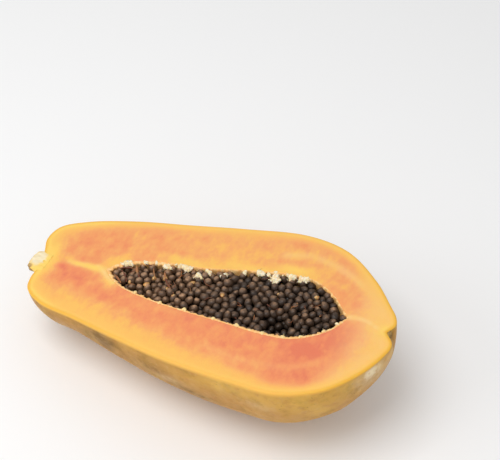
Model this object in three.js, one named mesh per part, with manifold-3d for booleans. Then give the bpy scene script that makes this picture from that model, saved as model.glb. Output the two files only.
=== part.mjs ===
// Half a ripe papaya, cut lengthwise from stem to blossom end and lying on its belly, cut face up.
// Four grown pieces: the fruit (flesh and rind in one), the pale placenta that lines the rim of the
// seed cavity, the mass of seeds that fills the cavity, and the stub of the stalk at the stem end.
// Everything is drawn in the fruit's own frame: X from the stem to the blossom end, Y across, and Z out
// of the cut face, which is the plane z = 0. A group then tilts it to the way it lies. Millimetres.
import * as THREE from "three";
import { mergeVertices } from "three/addons/utils/BufferGeometryUtils.js";
import Module from "manifold-3d";

const wasm = await Module();
wasm.setup();

// ---- Driving dimensions ----

// The fruit's outline in the cut face, as [x, y] from the middle of the stem to the blossom scar. The two
// sides have the same number of points, and points of the same rank face each other across the fruit.
const FRUIT_FAR_SIDE = [
  [-117, -7], [-120.5, 2], [-124.8, 13], [-122, 25.5], [-105, 36.2], [-72, 46.6], [-37, 53.6],
  [0, 61.2], [42, 67.6], [72, 61.4], [98, 42], [113, 25], [119.6, 16.5], [121.4, 10.5], [118.2, 3.5],
];
const FRUIT_NEAR_SIDE = [
  [-117, -7], [-116.2, -15], [-116, -23.5], [-112.5, -32.5], [-98, -41.2], [-72, -45.8], [-37, -52.3],
  [0, -58.2], [46, -61.2], [74, -60.9], [98, -50.2], [113, -33.5], [121.8, -16.5], [124.2, -5],
  [118.2, 3.5],
];
// How far the belly's keel lies under the cut face, at the same ranks.
const FRUIT_KEEL = [0, 9.5, 19.5, 29.5, 36, 42, 57, 65.5, 70.5, 63.5, 48.5, 32, 19.5, 9.2, 0];
const FRUIT_SECTION_POWER = 2.18; // 2 is an ellipse, and more is squarer

// The seed cavity's outline in the cut face, in the same way. It lies a little to the far side.
const CAVITY_FAR_SIDE = [
  [-71, -1], [-66, 5.2], [-57, 10.6], [-38, 15.8], [-10, 19.2], [20, 26.3], [46, 31], [64, 29.8],
  [78, 21.6], [87, 12.6], [92.5, 7.6],
];
const CAVITY_NEAR_SIDE = [
  [-71, -1], [-65, -6.6], [-55, -12.2], [-36, -16.4], [-8, -18.8], [20, -19.8], [46, -21], [64, -19.6],
  [78, -12.4], [87, -3.6], [92.5, 7.6],
];
const CAVITY_DEPTH = 1.15; // how deep its floor lies, as a share of its half width

const LINING_GAP = 0.3; // between the placenta and the flesh
const LINING_THICKNESS = 0.9;
const LINING_REACH = 9; // how far down the cavity wall it goes
const TUFT_LENGTH = 2.2; // how far the placenta's tufts stand in over the seeds
const TUFT_WAVES = [3.1, 1.9]; // two unlike waves along the rim, in millimetres to the radian
const TUFT_FADE = [4, 16]; // tufts grow on the far side, from none at the first y to full at the second

const SEEDS_GAP = 0.3; // between the seeds and what is round them
const SEED_RADII = [3.3, 2.9, 2.8];
const SEED_SIZES = [0.92, 1.08]; // the smallest and largest seed, as a share of those radii
const SEED_STEP = 6.3; // from seed to seed across the fruit
const SEED_ROW_STEP = 5.6; // from row to row along it
const SEED_JITTER = 0.5;
const SEED_MARGIN = 0.8; // between the cavity's wall and the space that the rows share out
const SEED_RISE = 1.5; // from the bed to a seed's middle
const SEED_RISE_JITTER = 0.6;
const SEED_DRAW = 20417; // the seeds' random draw
const BED_DROP = 5; // the seeds stand on a bed this far under the cut face
const BED_WAVE = 1; // the bed's broad unevenness
const BED_WAVE_LENGTHS = [15, 9]; // along and across the fruit, in millimetres to the radian
const BED_WAVE_START = 0.6; // in radians
const BED_RIPPLE = 0.5;
const BED_RIPPLE_LENGTH = 6; // along the fruit, in millimetres to the radian
const BED_INSET = 1.6; // from the cavity's wall

// The stalk's [radius, height over the hollow of the stem end], turned about the stalk.
const STUB_OUTLINE = [
  [0, -6.5], [7.4, -6.5], [8.8, -5], [9.6, -3], [9, -1], [8.2, 1.5], [7.4, 4], [6.4, 5.6], [0, 6.2],
];
const STUB_AT = [-118.4, -7.6];
const STUB_SOCKET_GAP = 0.3;

const RESTING_PITCH = 8.5; // degrees that the blossom end lies higher than the stem end
const RESTING_SPOT_DEPTH = 0.9; // how much the belly is flattened where it rests

// Stations along each shape, and steps round it.
const FRUIT_STEPS = [39, 44];
const CAVITY_STEPS = [40, 30];
const BED_STEPS = [14, 12];
const STUB_STEPS = 20;

const KNIFE_BLOCK = 400; // a block larger than the fruit, for cutting
const WELD = 1e-4; // points closer than this are one

// ---- Tools ----

const sideCurve = (points) =>
  new THREE.CatmullRomCurve3(points.map(([x, y]) => new THREE.Vector3(x, y, 0)));

const signedPower = (value, power) => Math.sign(value) * Math.abs(value) ** power;

// A random number either side of nought, up to the given size, from the seeded draw.
const spread = (size) => size * (2 * THREE.MathUtils.seededRandom() - 1);

// The geometry as bare welded points, with no seam and one point at each pole.
function welded(geometry) {
  const bare = new THREE.BufferGeometry();
  bare.setAttribute("position", geometry.getAttribute("position").clone());
  bare.setIndex(geometry.getIndex());
  return mergeVertices(bare, WELD);
}

function toSolid(geometry) {
  const bare = welded(geometry);
  return new wasm.Manifold(
    new wasm.Mesh({
      numProp: 3,
      vertProperties: bare.getAttribute("position").array,
      triVerts: new Uint32Array(bare.getIndex().array),
    }),
  );
}

function toGeometry(solid) {
  const { vertProperties, triVerts } = solid.getMesh();
  const geometry = new THREE.BufferGeometry();
  geometry.setAttribute("position", new THREE.BufferAttribute(vertProperties, 3));
  geometry.setIndex(new THREE.BufferAttribute(triVerts, 1));
  geometry.computeVertexNormals();
  return geometry;
}

// A block of the given height whose underside is at z = bottom.
const slab = (bottom, height) =>
  toSolid(
    new THREE.BoxGeometry(KNIFE_BLOCK, KNIFE_BLOCK, height).translate(0, 0, bottom + height / 2),
  );

// The curve of a keel's depth, rank by rank, between two sides.
const keelCurve = (farSide, nearSide, depths) =>
  sideCurve(depths.map((depth, rank) => [(farSide[rank][0] + nearSide[rank][0]) / 2, depth]));

// A closed ovoid between two side curves and as deep as its keel. A sphere's rows become stations along
// the curves, and its columns go round the section, a superellipse.
function ovoid({ far, near, keel, power = 2 }, along, around) {
  const geometry = new THREE.SphereGeometry(1, around, along);
  const position = geometry.getAttribute("position");
  const place = new THREE.Vector3();
  for (let row = 0; row <= along; row += 1) {
    const farPoint = far.getPoint(row / along);
    const nearPoint = near.getPoint(row / along);
    const depth = keel.getPoint(row / along).y;
    const middle = farPoint.clone().add(nearPoint).multiplyScalar(0.5);
    const half = farPoint.clone().sub(nearPoint).multiplyScalar(0.5);
    for (let column = 0; column <= around; column += 1) {
      const angle = (2 * Math.PI * (column % around)) / around;
      const across = signedPower(-Math.cos(angle), 2 / power);
      const up = signedPower(Math.sin(angle), 2 / power);
      place.copy(middle).addScaledVector(half, across);
      place.z = depth * up;
      position.setXYZ(row * (around + 1) + column, place.x, place.y, place.z);
    }
  }
  return geometry;
}

// The same closed shape with every point moved inwards, square to the surface, by inset(point).
function movedInwards(geometry, inset) {
  const shape = welded(geometry);
  shape.computeVertexNormals();
  const position = shape.getAttribute("position");
  const normal = shape.getAttribute("normal");
  const point = new THREE.Vector3();
  const outwards = new THREE.Vector3();
  for (let i = 0; i < position.count; i += 1) {
    point.fromBufferAttribute(position, i);
    outwards.fromBufferAttribute(normal, i);
    point.addScaledVector(outwards, -inset(point));
    position.setXYZ(i, point.x, point.y, point.z);
  }
  return shape;
}

// ---- The seed cavity ----

const cavityDepths = CAVITY_FAR_SIDE.map(
  ([, farY], rank) => (CAVITY_DEPTH * (farY - CAVITY_NEAR_SIDE[rank][1])) / 2,
);
const cavity = {
  far: sideCurve(CAVITY_FAR_SIDE),
  near: sideCurve(CAVITY_NEAR_SIDE),
  keel: keelCurve(CAVITY_FAR_SIDE, CAVITY_NEAR_SIDE, cavityDepths),
};
const cavityShape = ovoid(cavity, ...CAVITY_STEPS);

// ---- The stalk's stub: a short woody plug, cut in half by the same knife as the fruit ----

function stubBody(grownBy) {
  const outline = STUB_OUTLINE.map(([radius, height]) => {
    const spread = radius > 0 ? radius + grownBy : 0;
    return new THREE.Vector2(spread, height + Math.sign(height) * grownBy);
  });
  return toSolid(
    new THREE.LatheGeometry(outline, STUB_STEPS)
      .rotateZ(Math.PI / 2)
      .translate(STUB_AT[0], STUB_AT[1], 0),
  );
}

const stub = stubBody(0).subtract(slab(0, KNIFE_BLOCK));

// ---- The fruit: flesh and rind, grown as one ----

function fruitBody() {
  const fruit = {
    far: sideCurve(FRUIT_FAR_SIDE),
    near: sideCurve(FRUIT_NEAR_SIDE),
    keel: keelCurve(FRUIT_FAR_SIDE, FRUIT_NEAR_SIDE, FRUIT_KEEL),
    power: FRUIT_SECTION_POWER,
  };
  return toSolid(ovoid(fruit, ...FRUIT_STEPS))
    .subtract(slab(0, KNIFE_BLOCK))
    .subtract(toSolid(cavityShape))
    .subtract(stubBody(STUB_SOCKET_GAP));
}

// ---- The placenta: a pale lining along the cavity's rim, thickened into tufts on the far side ----

// Two waves of unlike length give tufts of uneven size, which fade out towards the near side.
function tuftAt({ x, y }) {
  const wave = Math.sin(x / TUFT_WAVES[0]) + Math.sin(x / TUFT_WAVES[1] + 1);
  return 0.5 * TUFT_LENGTH * Math.max(0, wave) * THREE.MathUtils.smoothstep(y, ...TUFT_FADE);
}

const liningInside = movedInwards(
  cavityShape,
  (point) => LINING_GAP + LINING_THICKNESS + tuftAt(point),
);
const placenta = toSolid(movedInwards(cavityShape, () => LINING_GAP))
  .subtract(toSolid(liningInside))
  .intersect(slab(-LINING_REACH, LINING_REACH));

// ---- The seeds ----

const seedRoom = toSolid(
  movedInwards(cavityShape, (point) => LINING_GAP + LINING_THICKNESS + SEEDS_GAP + tuftAt(point)),
);

// The bed that the seeds stand on, as a height over the cut face: a broad wave and a small ripple.
const bedHeight = (x, y) =>
  BED_WAVE * Math.sin(x / BED_WAVE_LENGTHS[0] + BED_WAVE_START) * Math.cos(y / BED_WAVE_LENGTHS[1]) +
  BED_RIPPLE * Math.sin(x / BED_RIPPLE_LENGTH) -
  BED_DROP;

// The bed is the cavity's own shape, with everything over bedHeight pressed down to it.
function seedBed() {
  const shape = movedInwards(ovoid(cavity, ...BED_STEPS), () => BED_INSET);
  const position = shape.getAttribute("position");
  for (let i = 0; i < position.count; i += 1) {
    const height = bedHeight(position.getX(i), position.getY(i));
    position.setZ(i, Math.min(position.getZ(i), height));
  }
  return toSolid(shape);
}

// One seed: an ovoid of twenty faces, turned at random.
function seedAt(x, y) {
  const size = THREE.MathUtils.lerp(...SEED_SIZES, THREE.MathUtils.seededRandom());
  const turn = new THREE.Euler(spread(Math.PI), spread(Math.PI), spread(Math.PI));
  return new THREE.IcosahedronGeometry(1, 0)
    .scale(...SEED_RADII.map((radius) => radius * size))
    .applyMatrix4(new THREE.Matrix4().makeRotationFromEuler(turn))
    .translate(x, y, bedHeight(x, y) + SEED_RISE + spread(SEED_RISE_JITTER));
}

// A side curve's y at a given x, found by halving, as x rises all along it.
function sideAt(curve, x) {
  let [low, high] = [0, 1];
  while (high - low > WELD) {
    const middle = (low + high) / 2;
    if (curve.getPoint(middle).x < x) low = middle;
    else high = middle;
  }
  return curve.getPoint(low).y;
}

// Rows of seeds from wall to wall, odd rows one seed fuller than even ones, so that they fall between each
// other, and each seed a little out of line.
function seedMass() {
  THREE.MathUtils.seededRandom(SEED_DRAW);
  const seeds = [];
  const [startX] = CAVITY_FAR_SIDE[0];
  const [endX] = CAVITY_FAR_SIDE.at(-1);
  for (let row = 1; startX + row * SEED_ROW_STEP < endX - SEED_MARGIN; row += 1) {
    const x = startX + row * SEED_ROW_STEP;
    const nearY = sideAt(cavity.near, x) + SEED_MARGIN;
    const farY = sideAt(cavity.far, x) - SEED_MARGIN;
    const count = Math.max(1, Math.round((farY - nearY) / SEED_STEP)) + (row % 2);
    for (let i = 0; i < count; i += 1) {
      const y = THREE.MathUtils.lerp(nearY, farY, (i + 0.5) / count);
      seeds.push(toSolid(seedAt(x + spread(SEED_JITTER), y + spread(SEED_JITTER))));
    }
  }
  const mass = wasm.Manifold.union([seedBed(), ...seeds]).intersect(seedRoom);
  // A scrap that the wall cuts off is dropped.
  return mass.decompose().reduce((best, body) => (body.volume() > best.volume() ? body : best));
}

// ---- The way it lies: tilted by its own weight, on a small flat spot of the belly ----

const tilt = new THREE.Matrix4().makeRotationY(THREE.MathUtils.degToRad(-RESTING_PITCH));

function restingOnFlatSpot(fruit) {
  const lying = toGeometry(fruit).applyMatrix4(tilt);
  lying.computeBoundingBox();
  const surface = lying.boundingBox.min.z + RESTING_SPOT_DEPTH;
  const below = new THREE.BoxGeometry(KNIFE_BLOCK, KNIFE_BLOCK, KNIFE_BLOCK)
    .translate(0, 0, surface - KNIFE_BLOCK / 2)
    .applyMatrix4(tilt.clone().invert());
  return fruit.subtract(toSolid(below));
}

// ---- The pieces ----

const finish = (color, roughness) =>
  new THREE.MeshStandardMaterial({ color, roughness, metalness: 0 });

function piece(name, solid, material) {
  const mesh = new THREE.Mesh(toGeometry(solid), material);
  mesh.name = name;
  return mesh;
}

const papaya = new THREE.Group();
papaya.add(
  piece("fruit", restingOnFlatSpot(fruitBody()), finish(0xf2a46c, 0.45)),
  piece("placenta", placenta, finish(0xf3e2bb, 0.6)),
  piece("seeds", seedMass(), finish(0x2f2723, 0.35)),
  piece("stalk_stub", stub, finish(0xe8d9b0, 0.8)),
);
papaya.setRotationFromMatrix(tilt);

// The origin is under the middle of the whole, on the surface that it rests on.
const whole = new THREE.Group();
whole.add(papaya);
const bounds = new THREE.Box3().setFromObject(whole, true);
const middle = bounds.getCenter(new THREE.Vector3());
papaya.position.set(-middle.x, -middle.y, -bounds.min.z);

export default whole;
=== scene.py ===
import bpy
import numpy as np
from mathutils import Matrix, Vector


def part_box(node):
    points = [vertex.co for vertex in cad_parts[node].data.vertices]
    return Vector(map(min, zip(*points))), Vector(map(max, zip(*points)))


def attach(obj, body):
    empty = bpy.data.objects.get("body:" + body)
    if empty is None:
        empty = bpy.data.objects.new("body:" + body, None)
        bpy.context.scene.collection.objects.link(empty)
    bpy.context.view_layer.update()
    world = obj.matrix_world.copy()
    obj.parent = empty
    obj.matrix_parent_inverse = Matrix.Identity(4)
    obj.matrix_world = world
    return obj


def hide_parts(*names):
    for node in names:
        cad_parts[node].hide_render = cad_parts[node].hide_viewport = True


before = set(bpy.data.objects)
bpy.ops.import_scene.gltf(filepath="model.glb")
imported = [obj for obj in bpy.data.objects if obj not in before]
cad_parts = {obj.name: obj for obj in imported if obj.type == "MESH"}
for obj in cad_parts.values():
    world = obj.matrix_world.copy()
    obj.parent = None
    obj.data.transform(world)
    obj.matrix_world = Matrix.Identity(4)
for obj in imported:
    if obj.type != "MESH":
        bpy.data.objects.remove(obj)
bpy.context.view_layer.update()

# ---- The fruit ----
# Half a ripe papaya, flesh and rind grown as one, cut lengthwise with a knife and lying on its belly.
# It is drawn in its own frame, in millimetres: x from the stem to the blossom end, y across, z out of
# the cut face. Then it is tilted to the way it lies.

MM = 0.001  # metres in a millimetre
PITCH = np.radians(8.5)  # how much higher the blossom end lies than the stem end
# The outline in the cut face, from the stem end to the blossom scar. Points of one rank face each other.
FAR_SIDE = [
    [-117, -7], [-120.5, 2], [-124.8, 13], [-122, 25.5], [-105, 36.2], [-72, 46.6], [-37, 53.6],
    [0, 61.2], [42, 67.6], [72, 61.4], [98, 42], [113, 25], [119.6, 16.5], [121.4, 10.5], [118.2, 3.5],
]
NEAR_SIDE = [
    [-117, -7], [-116.2, -15], [-116, -23.5], [-112.5, -32.5], [-98, -41.2], [-72, -45.8], [-37, -52.3],
    [0, -58.2], [46, -61.2], [74, -60.9], [98, -50.2], [113, -33.5], [121.8, -16.5], [124.2, -5],
    [118.2, 3.5],
]
KEEL = [0, 9.5, 19.5, 29.5, 36, 42, 57, 65.5, 70.5, 63.5, 48.5, 32, 19.5, 9.2, 0]  # the belly's depths
SECTION_POWER = 2.18  # 2 is an ellipse, and more is squarer
CAVITY_FAR_SIDE = [
    [-71, -1], [-66, 5.2], [-57, 10.6], [-38, 15.8], [-10, 19.2], [20, 26.3], [46, 31], [64, 29.8],
    [78, 21.6], [87, 12.6], [92.5, 7.6],
]
CAVITY_NEAR_SIDE = [
    [-71, -1], [-65, -6.6], [-55, -12.2], [-36, -16.4], [-8, -18.8], [20, -19.8], [46, -21], [64, -19.6],
    [78, -12.4], [87, -3.6], [92.5, 7.6],
]
CAVITY_DEPTH = 1.15  # as a share of its half width
KNIFE_EDGE = 0.5  # how far the cut rounds over at the rind and at the cavity
ALONG = 220  # stations from the stem to the blossom end
AROUND, BOWL_AROUND = 72, 36  # steps round the belly and round the cavity
CUT_ROWS = 84  # steps over the cut face, from the cavity to the rind
CUT_CROWDING = 0.5  # how much closer those steps are at both rims
TINY = 1e-6
# Unevenness, each as (height, size, random draw).
BELLY_RELIEF = [(0.55, 46, 3), (0.28, 17, 4)]
CUT_RELIEF = [(0.16, 22, 5)]
CUT_EVEN = 6  # how far from the rind the cut face turns uneven


def side_curve(points, share):
    """A centripetal Catmull-Rom curve through the points, at shares from 0 to 1 of their ranks. In each
    span a cubic leaves and arrives at speeds found from the square roots of the spans' lengths."""
    p = np.array(points, float)
    p = np.vstack([2 * p[0] - p[1], p, 2 * p[-1] - p[-2]])
    rank = np.clip(np.asarray(share, float), 0, 1) * (len(points) - 1)
    span = np.minimum(rank.astype(int), len(points) - 2)
    u = (rank - span)[..., None]
    p0, p1, p2, p3 = (p[span + k] for k in range(4))
    ends = ((p0, p1), (p1, p2), (p2, p3))
    d0, d1, d2 = (np.sqrt(np.linalg.norm(b - a, axis=-1))[..., None] for a, b in ends)
    leave = ((p1 - p0) / d0 - (p2 - p0) / (d0 + d1) + (p2 - p1) / d1) * d1
    arrive = ((p2 - p1) / d1 - (p3 - p1) / (d1 + d2) + (p3 - p2) / d2) * d1
    slow = -3 * p1 + 3 * p2 - 2 * leave - arrive
    fast = 2 * p1 - 2 * p2 + leave + arrive
    return p1 + leave * u + slow * u**2 + fast * u**3


def half_ovoid(far, near, keel, power, around):
    """Points on the lower half of an ovoid between two side curves, as deep as its keel. The section at
    each station is half a superellipse: across is cos(angle) and down is sin(angle), both raised to 2
    over the power."""
    share = np.linspace(0, 1, ALONG + 1)
    a, b = side_curve(far, share), side_curve(near, share)
    depth = side_curve([[(f[0] + n[0]) / 2, k] for f, n, k in zip(far, near, keel)], share)[:, 1]
    middle, half = (a + b) / 2, (a - b) / 2
    angle = np.linspace(0, np.pi, around + 1)
    across = np.sign(np.cos(angle)) * np.abs(np.cos(angle)) ** (2 / power)
    down = np.sin(angle) ** (2 / power)
    flat = middle[:, None] + half[:, None] * across[:, None]
    return np.dstack([flat, -depth[:, None] * down])


def tilted(points):
    """The fruit's frame in millimetres to metres, turned by the pitch so that the blossom end is up."""
    x, y, z = np.moveaxis(np.asarray(points, float), -1, 0) * MM
    sine, cosine = np.sin(PITCH), np.cos(PITCH)
    return np.stack([x * cosine - z * sine, y, x * sine + z * cosine], -1)


smooth_belly = half_ovoid(FAR_SIDE, NEAR_SIDE, KEEL, SECTION_POWER, AROUND)
# The fruit's frame lies in the row's where the belly's highest corner meets the solid's.
LIE = np.array(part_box("fruit")[1]) - tilted(smooth_belly).reshape(-1, 3).max(0)


def placed(points):
    """The fruit's frame in millimetres to the row's frame in metres."""
    return tilted(points) + LIE


def unit(vectors):
    """The vectors' directions, each as a vector of length 1."""
    return vectors / np.maximum(np.linalg.norm(vectors, axis=-1, keepdims=True), TINY)


def ripple(points, size, seed, waves=24):
    """Smooth random relief from about -1 to 1: a sum of plane waves with random directions and phases,
    whose lengths lie round the given size in millimetres."""
    draw = np.random.default_rng(seed)
    direction = unit(draw.normal(size=(waves, 3)))
    length = size * draw.uniform(0.7, 1.6, waves)
    phase = draw.uniform(0, 2 * np.pi, waves)
    turn = np.asarray(points, float) @ (direction * (2 * np.pi / length)[:, None]).T + phase
    return np.sin(turn).sum(-1) * np.sqrt(2 / waves) / 2


def relief(points, kinds):
    """The sum of several ripples, each (height, size, random draw)."""
    return sum(height * ripple(points, size, seed) for height, size, seed in kinds)


def piece_of(name, points, faces, facts=None):
    """A smooth mesh object from points in the fruit's frame and faces. facts names one value a point."""
    mesh = bpy.data.meshes.new(name)
    mesh.from_pydata(placed(points.reshape(-1, 3)).tolist(), [], faces)
    for fact, values in (facts or {}).items():
        attribute = mesh.attributes.new(fact, "FLOAT", "POINT")
        attribute.data.foreach_set("value", np.ravel(values).astype(np.float32))
    mesh.polygons.foreach_set("use_smooth", np.full(len(mesh.polygons), True))
    mesh.update()
    piece = bpy.data.objects.new(name, mesh)
    bpy.context.scene.collection.objects.link(piece)
    return piece


def shell(name, *patches):
    """One piece from patches, each (grid of points, flip, facts). A fact that a patch doesn't name is 0
    there. Points that agree to four decimals are welded, so seams close and poles become fans."""
    faces, count = [], 0
    for grid, flip, _ in patches:
        rows, columns = grid.shape[:2]
        i = count + np.arange((rows - 1) * columns).reshape(rows - 1, columns)[:, :-1].ravel()
        cells = np.stack([i, i + 1, i + columns + 1, i + columns], 1)
        faces.append(cells[:, ::-1] if flip else cells)
        count += rows * columns
    points = np.vstack([grid.reshape(-1, 3) for grid, _, _ in patches])
    _, kept, welded = np.unique(np.round(points, 4), axis=0, return_index=True, return_inverse=True)
    faces = welded.reshape(-1)[np.vstack(faces)]
    same = faces == np.roll(faces, -1, axis=1)
    quads = faces[same.sum(1) == 0]
    fans = faces[same.sum(1) == 1]
    fans = fans[~same[same.sum(1) == 1]].reshape(-1, 3)
    facts = {}
    for fact in dict.fromkeys(key for *_, given in patches for key in given):
        parts = [given.get(fact, 0) * np.ones(grid.shape[:2]) for grid, _, given in patches]
        facts[fact] = np.concatenate([part.ravel() for part in parts])[kept]
    return piece_of(name, points[kept], quads.tolist() + fans.tolist(), facts)


def gap_to(points, outline):
    """The distance from each point to an outline, in the cut plane: to the nearest of its short spans."""
    flat = points.reshape(-1, points.shape[-1])[:, :2]
    best = np.full(len(flat), np.inf)
    for start, step in zip(outline[:-1], np.diff(outline, axis=0)):
        off = flat - start
        share = np.clip((off @ step) / max(step @ step, TINY**2), 0, 1)
        best = np.minimum(best, np.linalg.norm(off - share[:, None] * step, axis=1))
    return best.reshape(points.shape[:-1])


def soft_spots(points, spots):
    """A sum of soft spots, each (x, y, half length along, half width across, strength), as bell curves."""
    x, y = points[..., 0], points[..., 1]
    return sum(
        strength * np.exp(-(((x - at_x) / long) ** 2) - ((y - at_y) / wide) ** 2)
        for at_x, at_y, long, wide, strength in spots
    )


def outline_of(far, near):
    """The closed outline in the cut plane: out along the far side and back along the near one."""
    share = np.linspace(0, 1, ALONG + 1)
    return np.vstack([side_curve(far, share), side_curve(near, share[::-1])[1:]])


fruit_outline = outline_of(FAR_SIDE, NEAR_SIDE)
cavity_outline = outline_of(CAVITY_FAR_SIDE, CAVITY_NEAR_SIDE)

# The belly. Its grown unevenness fades out at the rim and at both ends.
belly_angle = np.linspace(0, np.pi, AROUND + 1)
radial = unit(smooth_belly - (smooth_belly[:, :1] + smooth_belly[:, -1:]) / 2)
fading = np.sqrt(np.sin(np.pi * np.linspace(0, 1, ALONG + 1)))[:, None] * np.sin(belly_angle)
belly = smooth_belly + radial * (relief(smooth_belly, BELLY_RELIEF) * fading)[..., None]
belly[..., 2] = -np.sqrt(belly[..., 2] ** 2 + KNIFE_EDGE**2)

# The cut face, as rings from the cavity's outline to the fruit's.
ring = np.linspace(0, 1, CUT_ROWS + 1)
ring = (ring - CUT_CROWDING * np.sin(2 * np.pi * ring) / (2 * np.pi))[:, None, None]
cut = cavity_outline * (1 - ring) + fruit_outline * ring
rim_gap = gap_to(cut, fruit_outline)
seed_gap = gap_to(cut, cavity_outline)
edge = np.clip(1 - np.minimum(rim_gap, seed_gap) / (2 * KNIFE_EDGE), 0, 1)
cut = np.dstack([cut, -KNIFE_EDGE * edge**2])
cut[..., 2] += relief(cut * [1, 1, 0], CUT_RELIEF) * (1 - edge) * np.clip(rim_gap / CUT_EVEN, 0, 1)

# The wall of the cavity.
cavity_keel = [CAVITY_DEPTH * (f[1] - n[1]) / 2 for f, n in zip(CAVITY_FAR_SIDE, CAVITY_NEAR_SIDE)]
bowl = half_ovoid(CAVITY_FAR_SIDE, CAVITY_NEAR_SIDE, cavity_keel, 2, BOWL_AROUND)
bowl[..., 2] = -np.sqrt(bowl[..., 2] ** 2 + KNIFE_EDGE**2)

# How ripe the flesh looks, from 0, yellow, over 0.5, orange, to 1, salmon. It ripens inwards from the
# rind over a margin, up to a level, and both vary along each side.
NEAR_MARGIN = [
    [-118, 9], [-85, 11.5], [-50, 13], [15, 10.5], [45, 8.4], [64, 5.8], [86, 5], [100, 6.4], [122, 9],
]
FAR_MARGIN = [[-122, 8], [-60, 4.2], [10, 4.5], [45, 3.6], [80, 4.5], [98, 7], [122, 10]]
NEAR_LEVEL = [
    [-118, 0.5], [-100, 0.88], [-60, 0.9], [0, 0.92], [60, 0.96], [88, 1.18], [99, 0.98], [108, 0.5],
    [120, 0.3],
]
FAR_LEVEL = [
    [-121, 0.2], [-106, 0.66], [-60, 0.66], [0, 0.4], [40, 0.52], [84, 0.66], [94, 0.62], [108, 0.34],
    [122, 0.2],
]
SIDES_BLEND = (-7, 11)  # the y between which the near side's give way to the far side's
RIPENING = [
    # share of the level, and how far from the rind it starts and is reached, in margins
    (0.62, 0.45, 1.7), (0.38, 1.0, 2.6),
]
# The far side stays unripe in a band by the cavity, and so does the cavity's stem tip.
BAND_START, BAND_END, TIP_END = (-48, -26), (74, 54), (-54, -65)
BAND_GAPS = (11, 1.5)  # how far from the cavity the band fades out and is full
BAND_UNRIPE = 0.92
RIPE_SPOTS = [
    # x, y, half length, half width, how much riper
    (-102, -7.5, 4.5, 3.2, 0.72), (-91, -14, 5.5, 4, 0.34), (-100.5, -18, 5, 4, 0.2), (-99, 20, 7, 4, 0.12),
    (-56, -24, 8, 4, 0.22), (-38, -27, 9, 4, 0.12), (43, -27, 9, 4, 0.2), (75, -27, 12, 6, 0.3),
    (95, -13, 7, 5, 0.22), (41, 57, 6, 3, 0.3), (12, -31, 12, 4, 0.12), (72, 40, 8, 5, -0.3),
    (-113, -8, 6, 10, -0.5), (44, 48, 8, 4, -0.3), (-20, -22, 10, 2.5, -0.12), (117, 5, 5, 5, -0.2),
    (-4, 46, 9, 4, 0.2), (92, 22, 4, 6, 0.26), (76, 50, 6, 3.5, 0.2), (-107, -19, 5, 6, 0.3),
    (-29, -33, 9, 4, 0.16), (30, 49, 7, 3, -0.15), (60, 46, 6, 3, -0.16), (75, 31, 6, 3, -0.18),
    (92, -38, 6, 4, -0.15),
]


def along_x(points, stations):
    """Values read off a broken line of (x, value) at each point's x."""
    at, values = np.array(stations, float).T
    return np.interp(points[..., 0], at, values)


def eased(value, low, high):
    """0 below low, 1 above high, and an S curve between: three squares less two cubes of the share."""
    share = np.clip((value - low) / (high - low), 0, 1)
    return share * share * (3 - 2 * share)


cut_x = cut[..., 0]
farness = eased(cut[..., 1], *SIDES_BLEND)
margin = along_x(cut, NEAR_MARGIN) * (1 - farness) + along_x(cut, FAR_MARGIN) * farness
level = along_x(cut, NEAR_LEVEL) * (1 - farness) + along_x(cut, FAR_LEVEL) * farness
ripe = level * sum(part * eased(rim_gap, low * margin, high * margin) for part, low, high in RIPENING)
far_band = farness * eased(cut_x, *BAND_END) * eased(cut_x, *BAND_START)
band = eased(seed_gap, *BAND_GAPS) * np.clip(far_band + eased(cut_x, *TIP_END), 0, 1)
ripe = ripe * (1 - BAND_UNRIPE * band) + soft_spots(cut, RIPE_SPOTS)

# Pale bundles of vessels that the knife has opened, each a curve with its width and strength.
VESSELS = [
    # its curve, half width, how pale, how much less ripe round it
    ([[91, 7.4], [97, 8.6], [104, 8], [114, 4]], 2.4, 0.75, 0.5),
    ([[36, 46], [52, 50], [66, 47.5], [80, 42], [92, 35]], 3.0, 0.4, 0.35),
    ([[92, 35], [99, 28], [103, 18], [104, 8]], 3.2, 0.3, 0.2),
    ([[-98, -2], [-92, -2.7], [-85, -2.1], [-79, -2.3], [-72, -1.6]], 2.4, 0.3, 1.0),
    ([[-78, -1], [-73, -3], [-67, -7.2], [-61, -10.6]], 1.8, 0.85, 0.7),
    ([[20, -41], [50, -44], [76, -39], [92, -28]], 2.6, 0.12, 0.1),
]
VESSEL_STEPS = 40
# They meet at the blossom end: how pale the flesh is there, from which x on, and how far from the rind.
BLOSSOM_VESSELS, BLOSSOM_PALES, BLOSSOM_RIM = 0.35, (84, 106), (1, 6)


def bell(value, middle, width):
    """1 at the middle, falling off on both sides as a bell curve."""
    return np.exp(-(((value - middle) / width) ** 2))


vessel = BLOSSOM_VESSELS * eased(cut_x, *BLOSSOM_PALES) * eased(rim_gap, *BLOSSOM_RIM)
for route, width, pale, unripe in VESSELS:
    near_it = bell(gap_to(cut, side_curve(route, np.linspace(0, 1, VESSEL_STEPS))), 0, width)
    vessel = np.maximum(vessel, pale * near_it)
    ripe = ripe * (1 - unripe * near_it)

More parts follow.
